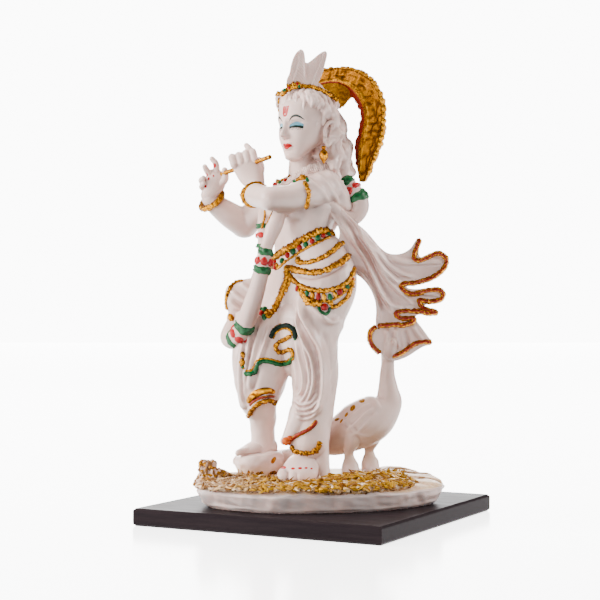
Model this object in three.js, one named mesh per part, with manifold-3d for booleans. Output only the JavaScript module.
// A painted marble-resin statue of a standing flute player with a goose-like bird, one casting,
// with a loose flute through the hands, on a square board. Millimetres, +Z up, origin at the
// middle of the board's underside.
import * as THREE from 'three';
import { mergeVertices } from 'three/addons/utils/BufferGeometryUtils.js';
import Module from 'manifold-3d';

const wasm = await Module();
wasm.setup();

// Driving dimensions
const plinthSide = 186;
const plinthThickness = 12;
const plinthBevel = 1.5;
const statueHeight = 317;
const turnOnPlinth = THREE.MathUtils.degToRad(28);
const seatGap = 0.3;
const fluteDiameter = 3.2;
const fluteLength = 71;
const gripGap = 0.3;

// The pose, proportions and carving are thousandths of the statue's height: x to the right and
// y to the back as the statue is looked at, z up from its underside.
const unit = statueHeight / 1000;
const bodyLeft = [0.64, -0.77, 0];
const headFacing = new THREE.Vector3(-0.71, -0.71, 0).normalize();
const headLeft = new THREE.Vector3(0.71, -0.71, 0).normalize();
const haloFacing = new THREE.Vector3(-0.55, -0.83, 0).normalize();
const haloLeft = new THREE.Vector3(0.83, -0.55, 0).normalize();

function at(x, y, z) {
  return new THREE.Vector3(x, y, z).multiplyScalar(unit);
}

function solidOf(geometry) {
  geometry.deleteAttribute('normal');
  geometry.deleteAttribute('uv');
  const merged = mergeVertices(geometry, 1e-4);
  return new wasm.Manifold(new wasm.Mesh({
    numProp: 3,
    vertProperties: Float32Array.from(merged.attributes.position.array),
    triVerts: Uint32Array.from(merged.index.array),
  }));
}

function geometryOf(solid) {
  const mesh = solid.getMesh();
  const geometry = new THREE.BufferGeometry();
  geometry.setAttribute('position', new THREE.BufferAttribute(mesh.vertProperties, mesh.numProp));
  geometry.setIndex(new THREE.BufferAttribute(mesh.triVerts, 1));
  return geometry;
}

function joined(solids) {
  return solids.reduce((whole, solid) => whole.add(solid));
}

// A closed surface: place(turn, ring) is the point at an angle round it, on a ring along it.
function surface(sides, rings, place) {
  const geometry = new THREE.SphereGeometry(1, sides, rings);
  const position = geometry.attributes.position;
  for (let i = 0; i < position.count; i += 1) {
    const turn = ((i % (sides + 1)) % sides) / sides * 2 * Math.PI;
    const point = place(turn, Math.floor(i / (sides + 1)));
    position.setXYZ(i, point.x, point.y, point.z);
  }
  return solidOf(geometry);
}

// A limb: a closed body along a smooth path. Each row is a point and the half-widths there,
// one across and one through. The across direction is given at the start and carried along
// without twist. The ends are points, or round with two dome rings, and flatter with a smaller
// dome value.
function limb(rows, { across = bodyLeft, sides = 8, steps = 1, dome = 1, domeRings = 1 } = {}) {
  const path = new THREE.CatmullRomCurve3(rows.map(([x, y, z]) => at(x, y, z)));
  const girth = new THREE.CatmullRomCurve3(rows.map((row) => at(row[3], row[4] ?? row[3], 0)));
  const count = (rows.length - 1) * steps;
  const frames = [];
  let side = new THREE.Vector3(...across);
  for (let i = 0; i <= count; i += 1) {
    const tangent = path.getTangent(i / count);
    side = side.clone().addScaledVector(tangent, -side.dot(tangent)).normalize();
    frames.push({
      centre: path.getPoint(i / count),
      girth: girth.getPoint(i / count),
      through: side.clone().cross(tangent),
      side,
      tangent,
    });
  }
  return surface(sides, count + 2 * domeRings, (turn, ring) => {
    const before = Math.max(domeRings - ring, 0);
    const after = Math.max(ring - domeRings - count, 0);
    const frame = frames[THREE.MathUtils.clamp(ring - domeRings, 0, count)];
    const angle = (before + after) / domeRings * Math.PI / 2;
    const shrink = before + after === domeRings ? 0 : Math.cos(angle);
    const depth = Math.min(frame.girth.x, frame.girth.y) * dome * Math.sin(angle);
    return frame.centre.clone()
      .addScaledVector(frame.side, frame.girth.x * shrink * Math.cos(turn))
      .addScaledVector(frame.through, frame.girth.y * shrink * Math.sin(turn))
      .addScaledVector(frame.tangent, after > 0 ? depth : -depth);
  });
}

// A sheet of even thickness over place(u, v), both from 0 to 1.
function sheet(countU, countV, thickness, place) {
  const geometry = new THREE.BoxGeometry(1, 1, 1, countU, countV, 1);
  const position = geometry.attributes.position;
  const near = 1e-3;
  for (let i = 0; i < position.count; i += 1) {
    const u = position.getX(i) + 0.5;
    const v = position.getY(i) + 0.5;
    const alongU = place(u + near, v).sub(place(u - near, v));
    const alongV = place(u, v + near).sub(place(u, v - near));
    const point = place(u, v)
      .addScaledVector(alongU.cross(alongV).normalize(), position.getZ(i) * thickness);
    position.setXYZ(i, point.x, point.y, point.z);
  }
  return solidOf(geometry);
}

// A band round a limb: an oval ring with its middle, its two half-widths and its tube's radius,
// leaned by its upper normal.
function band(middle, halfAcross, halfThrough, tube, normal, across = bodyLeft) {
  const axis = new THREE.Vector3(...normal).normalize();
  const side = new THREE.Vector3(...across);
  side.addScaledVector(axis, -side.dot(axis)).normalize();
  const through = axis.clone().cross(side);
  const geometry = new THREE.TorusGeometry(1, tube / halfAcross, 4, 18);
  const stretch = new THREE.Matrix4().makeScale(halfAcross, halfThrough, halfAcross);
  const turn = new THREE.Matrix4().makeBasis(side, through, axis);
  geometry.applyMatrix4(stretch.premultiply(turn));
  geometry.scale(unit, unit, unit);
  const centre = at(...middle);
  geometry.translate(centre.x, centre.y, centre.z);
  return solidOf(geometry);
}

// A point of the head: forward from its axis, to its left, and up from the chin.
const headAxis = [-30, -13];
const chinLevel = 750;
function headRow(forward, left, up, ...radii) {
  const x = headAxis[0] + headFacing.x * forward + headLeft.x * left;
  const y = headAxis[1] + headFacing.y * forward + headLeft.y * left;
  return [x, y, chinLevel + up, ...radii];
}

// The rock slab: a flat underside, a side that flares out to a wavy rim, and a top that rises
// to the back.
const slabMiddle = [3, -38];
const slabTurn = THREE.MathUtils.degToRad(8.5);
function rock() {
  const rings = [[0, 0], [0.9, 0], [0.985, 26], [1, 38], [0.9, 50], [0.6, 56], [0, 60]];
  return surface(28, rings.length - 1, (turn, ring) => {
    const [reach, level] = rings[ring];
    const wave = 1 + 0.022 * Math.sin(3 * turn + 1) + 0.018 * Math.sin(7 * turn);
    const along = 276 * reach * wave * Math.cos(turn);
    const deep = -188 * reach * wave * Math.sin(turn);
    const rise = level > 40 ? 9 * (1 - reach * Math.sin(turn)) * reach : 0;
    return at(
      slabMiddle[0] + along * Math.cos(slabTurn) - deep * Math.sin(slabTurn),
      slabMiddle[1] + along * Math.sin(slabTurn) + deep * Math.cos(slabTurn),
      level + rise,
    );
  });
}

function ground() {
  const grass = [[-200, -120, 50, 14], [-120, -165, 50, 14], [-40, -190, 50, 15],
    [45, -190, 52, 17], [120, -150, 55, 19], [180, -95, 56, 17], [215, -40, 54, 12]];
  const stump = [[-243, -66, 40, 22, 20], [-244, -64, 88, 17, 15]];
  const bowl = [[-133, 44, 56, 38], [-133, 44, 78, 54], [-133, 44, 98, 57], [-133, 44, 108, 54]];
  const block = [[-40, 72, 50, 30, 24], [-40, 72, 112, 28, 22]];
  return [rock(), limb(grass, { sides: 6, across: [0, 0, 1] }),
    limb(stump, { dome: 0.2, domeRings: 2 }), limb(bowl, { sides: 12, dome: 0.1, domeRings: 2 }),
    limb(block, { sides: 6, dome: 0.1 })];
}

function legs() {
  const left = [[2, -25, 450, 70], [-12, -28, 358, 58], [-6, -28, 281, 52], [-9, -25, 226, 48],
    [-15, -22, 170, 45], [-19, -22, 133, 47]];
  const leftAnkle = [[-26, -22, 137, 28], [-28, -19, 102, 26], [-30, -19, 76, 27]];
  const leftFoot = [[-24, 4, 70, 27, 22], [-32, -28, 68, 34, 22], [-43, -66, 62, 40, 15]];
  const support = [[4, 19, 189, 28, 22], [8, 25, 133, 24, 20], [8, 25, 52, 26, 22]];
  const right = [[-48, 44, 450, 69], [-84, 25, 379, 63], [-110, 9, 312, 56], [-124, 6, 259, 52],
    [-130, 13, 219, 43], [-124, 22, 189, 34], [-122, 32, 150, 28], [-122, 41, 112, 29]];
  const rightFoot = [[-107, 60, 116, 24, 20], [-133, 35, 115, 26, 19], [-168, 6, 114, 25, 12]];
  const hem = [[-146, 13, 390, 41], [-157, 0, 335, 33], [-159, -6, 280, 28],
    [-161, -6, 235, 16], [-163, -6, 214, 8]];
  const sashLobe = [[-89, 57, 450, 47, 25], [-152, 54, 446, 48, 22], [-188, 50, 439, 42, 20]];
  const sashFold = [[-124, 44, 405, 25, 19], [-174, 44, 405, 22, 16], [-192, 41, 405, 16, 13]];
  const skirt = [[-30, -20, 400, 62, 60], [-36, -22, 330, 48, 50], [-42, -12, 268, 30, 34]];
  return [limb(left, { sides: 10 }), limb(leftAnkle),
    limb(leftFoot, { across: [1, -0.3, 0], dome: 0.5, domeRings: 2 }),
    limb(support, { dome: 0.2 }),
    limb(right, { sides: 10 }), limb(rightFoot, { across: [0.5, -0.8, 0], domeRings: 2 }),
    limb(hem), limb(sashLobe, { across: [0, 0, 1], domeRings: 2 }),
    limb(sashFold, { across: [0, 0, 1] }), limb(skirt)];
}

function torso() {
  const trunk = [[-18, 6, 406, 98, 66], [-17, 6, 446, 113, 77], [-15, 6, 495, 120, 79],
    [-19, 6, 539, 101, 66], [-28, 6, 588, 69, 50], [-30, 3, 634, 82, 57],
    [-32, 0, 667, 95, 57], [-35, 0, 694, 95, 47], [-35, 0, 722, 60, 36], [-35, 0, 738, 32, 30]];
  const neck = [[-35, 0, 716, 30], [-37, -6, 751, 27], [-35, -9, 785, 28]];
  return [limb(trunk, { sides: 12, dome: 0.4 }), limb(neck),
    band([-24, -2, 548], 104, 74, 8, [-0.28, 0.3, 1]),
    band([-17, 2, 458], 115, 80, 8, [-0.1, 0.22, 1])];
}

function head() {
  const skull = [headRow(40, 0, 8, 22, 17), headRow(29, 0, 26, 34, 31),
    headRow(19, 0, 40, 43, 45), headRow(10, 0, 58, 51, 57), headRow(3, 0, 84, 57, 66),
    headRow(0, 0, 100, 60, 70), headRow(-3, 0, 125, 58, 67), headRow(-6, 0, 148, 44, 52)];
  const nose = [headRow(64, 0, 94, 5), headRow(72, 0, 74, 7), headRow(75, 0, 62, 9, 8)];
  const lips = [headRow(54, -15, 38, 4), headRow(64, 0, 38, 7, 6), headRow(54, 15, 38, 4)];
  const chin = [headRow(49, 0, 12, 13, 9), headRow(50, 0, 18, 12, 8)];
  const eyes = [-1, 1].map((side) => [headRow(56, side * 14, 84, 5), headRow(52, side * 24, 86, 9),
    headRow(46, side * 34, 84, 5)]);
  const hair = [[-7, 6, 860, 60, 52], [5, 21, 824, 68, 60], [18, 30, 781, 72, 56],
    [32, 34, 738, 68, 44], [36, 34, 698, 46, 28], [36, 32, 668, 24, 18]];
  const locks = [-1, 1].map((side) => [headRow(32, side * 44, 134, 18),
    headRow(10, side * 56, 112, 16), headRow(-20, side * 60, 88, 18),
    headRow(-34, side * 58, 50, 18), headRow(-36, side * 52, 14, 16)]);
  const ears = [-1, 1].map((side) => [headRow(-2, side * 60, 92, 9, 6),
    headRow(-4, side * 63, 74, 12, 7), headRow(2, side * 60, 54, 7, 5)]);
  return [limb(skull, { sides: 14, across: headLeft, dome: 0.9, domeRings: 2 }),
    limb(nose, { sides: 6, across: headLeft }),
    limb(lips, { sides: 6, across: [0, 0, 1] }),
    limb(chin, { sides: 8, across: headLeft }), limb(hair, { sides: 10, across: headLeft, domeRings: 2 }),
    ...eyes.map((rows) => limb(rows, { sides: 6, across: headFacing })),
    ...locks.map((rows) => limb(rows, { sides: 6, across: headFacing })),
    ...ears.map((rows) => limb(rows, { sides: 6, across: headFacing })),
    band(headRow(-4, 0, 140), 57, 62, 9, [0.2, 0.2, 1], headLeft)];
}

// The double feather: two flat leaves side by side from one root.
function feather() {
  const leaves = [[[-50, -38, 896, 16, 9], [-46, -42, 930, 22, 10], [-45, -44, 962, 17, 8],
    [-37, -44, 990, 6, 5]],
  [[-14, -28, 896, 20, 9], [-10, -24, 930, 24, 10], [0, -20, 963, 17, 8], [16, -18, 990, 5, 4]]];
  return leaves.map((rows) => limb(rows, { across: [0.94, 0.2, 0], steps: 2 }));
}

// The halo: an upright horseshoe behind the head, open below, widest at its sides. Each row
// of its right half is a reach to the side, a rise and half the band's width.
const haloMiddle = [40, 69, 846];
function halo() {
  const rightHalf = [[0, 112, 14], [42, 102, 21], [76, 77, 29], [100, 38, 32], [103, 0, 32],
    [98, -35, 31], [87, -68, 27], [79, -104, 16], [72, -126, 6]];
  const leftHalf = rightHalf.slice(1).reverse().map(([reach, rise, half]) => [-reach, rise, half]);
  const rows = [...leftHalf, ...rightHalf].map(([reach, rise, half]) => [
    haloMiddle[0] + haloLeft.x * reach, haloMiddle[1] + haloLeft.y * reach,
    haloMiddle[2] + rise, 9, half]);
  const link = [[-4, -4, 892, 8, 18], [50, 8, 896, 6, 20], [106, 24, 888, 6, 18]];
  return [limb(rows, { across: haloFacing, dome: 0.6 }),
    limb(link, { sides: 6, across: haloFacing })];
}

// The garland: from the nape over the left shoulder and across to the right forearm, down to
// its lowest point before the right thigh, and up again over the right shoulder.
function garland() {
  const rows = [[-12, 35, 746, 17], [55, 25, 727, 20], [93, 3, 679, 22], [89, -13, 651, 22],
    [66, -35, 628, 21], [31, -60, 618, 19], [-7, -76, 624, 17], [-46, -76, 637, 17],
    [-76, -63, 633, 18], [-94, -63, 602, 20], [-109, -66, 554, 21], [-135, -58, 463, 23],
    [-155, -42, 417, 23], [-178, -14, 378, 24], [-191, 16, 368, 21], [-183, 38, 384, 19],
    [-157, 54, 432, 17], [-132, 60, 502, 15], [-121, 64, 559, 14], [-119, 68, 615, 16],
    [-118, 66, 661, 17], [-98, 52, 704, 18], [-66, 50, 729, 18], [-30, 42, 742, 17]];
  const collar = [[-78, -10, 712, 12], [-50, -34, 722, 13], [-8, -30, 728, 14],
    [28, 0, 728, 15], [10, 34, 734, 14]];
  return [limb(rows, { sides: 6 }), limb(collar, { sides: 6 })];
}

function leftArm() {
  const upper = [[18, -50, 694, 38], [-22, -95, 679, 35], [-60, -126, 666, 32],
    [-99, -145, 662, 31]];
  const lower = [[-101, -145, 662, 30], [-117, -101, 667, 27], [-131, -57, 677, 22],
    [-138, -34, 694, 20]];
  const palm = [[-138, -32, 694, 22, 16], [-146, -22, 719, 29, 15], [-160, -16, 745, 31, 13]];
  const fingers = [0, 1, 2, 3].map((i) => [[-139 - 15 * i, -20, 752 - 3 * i, 9],
    [-144 - 15 * i, -10, 773 - 4 * i, 9], [-145 - 15 * i, 8, 771 - 4 * i, 8],
    [-139 - 15 * i, 18, 751 - 3 * i, 7]]);
  const indexTip = [[-134, -8, 770, 9], [-143, -4, 786, 8], [-149, 2, 794, 6]];
  const thumb = [[-133, -22, 712, 10], [-126, -8, 735, 9], [-130, 4, 755, 8]];
  return [limb(upper, { domeRings: 2 }), limb(lower), limb(palm, { across: [1, 0, 0.35] }),
    ...[...fingers, indexTip, thumb].map((rows) => limb(rows, { sides: 5 })),
    band([-134, -44, 688], 24, 24, 5, [-0.3, 0.8, 0.6])];
}

function rightArm() {
  const upper = [[-92, 58, 686, 32], [-126, 95, 664, 33], [-154, 118, 632, 33],
    [-168, 124, 620, 33]];
  const lower = [[-166, 124, 620, 33], [-197, 104, 638, 30], [-228, 85, 660, 24],
    [-243, 76, 675, 19]];
  const palm = [[-245, 74, 679, 20, 15], [-234, 72, 704, 24, 14], [-226, 74, 728, 24, 12]];
  const fingers = [[[-228, 72, 728, 8], [-229, 66, 752, 7], [-238, 66, 764, 6]],
    [[-238, 74, 722, 8], [-250, 66, 738, 7], [-254, 62, 746, 6]],
    [[-246, 76, 708, 8], [-262, 66, 714, 7], [-257, 56, 720, 6]],
    [[-248, 76, 696, 7], [-262, 68, 700, 6], [-256, 60, 707, 6]],
    [[-222, 70, 705, 9], [-208, 62, 718, 8], [-209, 60, 738, 7]]];
  return [limb(upper, { domeRings: 2 }), limb(lower), limb(palm, { across: [1, 0, -0.3] }),
    ...fingers.map((rows) => limb(rows, { sides: 5 })),
    band([-239, 79, 671], 28, 26, 7, [-0.4, -0.35, 0.5])];
}

// The scarf: a fan of cloth from the left shoulder to a hem of four folds beyond the hip, and a
// flap that hangs from its lower end over the bird's head.
function scarf() {
  const top = new THREE.CatmullRomCurve3([at(4, -18, 730), at(64, -30, 656),
    at(97, -25, 586), at(165, 0, 536)]);
  const lower = new THREE.CatmullRomCurve3([at(-30, -60, 690), at(29, -48, 600),
    at(102, -22, 500), at(134, -13, 396)]);
  const bulge = at(46, 6, -2);
  const fan = sheet(6, 7, 16 * unit, (u, v) => {
    const along = THREE.MathUtils.clamp(v, 0, 1);
    const swell = Math.max(Math.sin(Math.PI * u), 0) * Math.max(v - 0.45, 0) * 1.8;
    const pleat = Math.sin(6 * Math.PI * u) * Math.max(v, 0);
    return top.getPoint(along).lerp(lower.getPoint(along), u)
      .addScaledVector(bulge, swell).add(at(0, 7 * pleat, 0));
  });
  const folds = [[[150, -4, 544, 10, 9], [188, 6, 548, 10, 8], [206, 18, 566, 8, 7],
    [216, 24, 582, 4, 5]],
  [[168, -6, 505, 36, 12], [226, 2, 518, 31, 14], [282, 24, 534, 17, 11]],
  [[166, -12, 464, 26, 11], [222, 4, 461, 17, 12], [270, 14, 454, 12, 9]],
  [[160, -14, 428, 22, 10], [212, -4, 424, 13, 11], [260, 10, 415, 6, 7]]];
  const flapTop = new THREE.CatmullRomCurve3([at(126, -12, 406), at(170, -10, 418),
    at(224, -2, 408)]);
  const flapHem = new THREE.CatmullRomCurve3([at(122, 20, 345), at(150, 46, 318),
    at(190, 52, 312), at(254, 36, 348)]);
  const flap = sheet(5, 3, 14 * unit, (u, v) => {
    const across = THREE.MathUtils.clamp(u, 0, 1);
    return flapTop.getPoint(across).lerp(flapHem.getPoint(across), v)
      .add(at(0, -14 * Math.sin(Math.PI * across), 0));
  });
  return [fan, ...folds.map((rows) => limb(rows, { across: [0, 0, 1], domeRings: 2 })), flap];
}

// The bird: its body and neck are one limb, with the head under the flap.
function bird() {
  const body = [[11, 69, 139, 25], [42, 63, 146, 38], [78, 57, 158, 52], [113, 50, 170, 57],
    [142, 47, 190, 50], [165, 47, 216, 33], [165, 47, 243, 22], [159, 47, 275, 17],
    [160, 47, 302, 15], [165, 47, 330, 17], [184, 54, 349, 18], [199, 58, 357, 8]];
  const legRows = [[[82, 32, 137, 22], [73, 28, 106, 11], [70, 28, 84, 10],
    [75, 24, 62, 17, 14], [78, 20, 54, 18, 14]],
  [[121, 69, 138, 19], [117, 69, 106, 10], [117, 69, 84, 10], [121, 66, 64, 16, 14],
    [124, 64, 54, 18, 14]]];
  return [limb(body, { sides: 10, domeRings: 2 }),
    ...legRows.map((rows) => limb(rows, { sides: 6 }))];
}

// The flute lies through both hands and stops short of the mouth.
const fluteEnd = at(-104, -60, 757);
const fluteAim = at(-242, 95, 723).sub(fluteEnd).normalize();
function rod(radius, length) {
  const geometry = new THREE.CylinderGeometry(radius, radius, length, 12);
  geometry.applyQuaternion(
    new THREE.Quaternion().setFromUnitVectors(new THREE.Vector3(0, 1, 0), fluteAim));
  const middle = fluteEnd.clone().addScaledVector(fluteAim, fluteLength / 2);
  geometry.translate(middle.x, middle.y, middle.z);
  return geometry;
}

const grip = solidOf(rod(fluteDiameter / 2 + gripGap, fluteLength + 2 * gripGap));
const casting = joined([...ground(), ...legs(), ...torso(), ...head(), ...feather(), ...halo(),
  ...garland(), ...leftArm(), ...rightArm(), ...scarf(), ...bird()]).subtract(grip);

const half = plinthSide / 2 - plinthBevel;
const board = new THREE.Shape([[-half, -half], [half, -half], [half, half], [-half, half]]
  .map(([x, y]) => new THREE.Vector2(x, y)));
const boardGeometry = new THREE.ExtrudeGeometry(board, {
  depth: plinthThickness - 2 * plinthBevel,
  bevelSize: plinthBevel,
  bevelThickness: plinthBevel,
  bevelSegments: 1,
});
boardGeometry.translate(0, 0, plinthBevel);

function piece(name, geometry, color, roughness, metalness) {
  const material = new THREE.MeshStandardMaterial({ color, roughness, metalness });
  const mesh = new THREE.Mesh(geometry, material);
  mesh.name = name;
  return mesh;
}

const statue = new THREE.Group();
statue.rotation.z = turnOnPlinth;
statue.position.z = plinthThickness + seatGap;
statue.add(piece('figure', geometryOf(casting), '#efe7e3', 0.35, 0));
statue.add(piece('flute', rod(fluteDiameter / 2, fluteLength), '#b57a2c', 0.4, 0.6));

const object = new THREE.Group();
object.add(piece('plinth', boardGeometry, '#2c2120', 0.35, 0));
object.add(statue);

export default object;
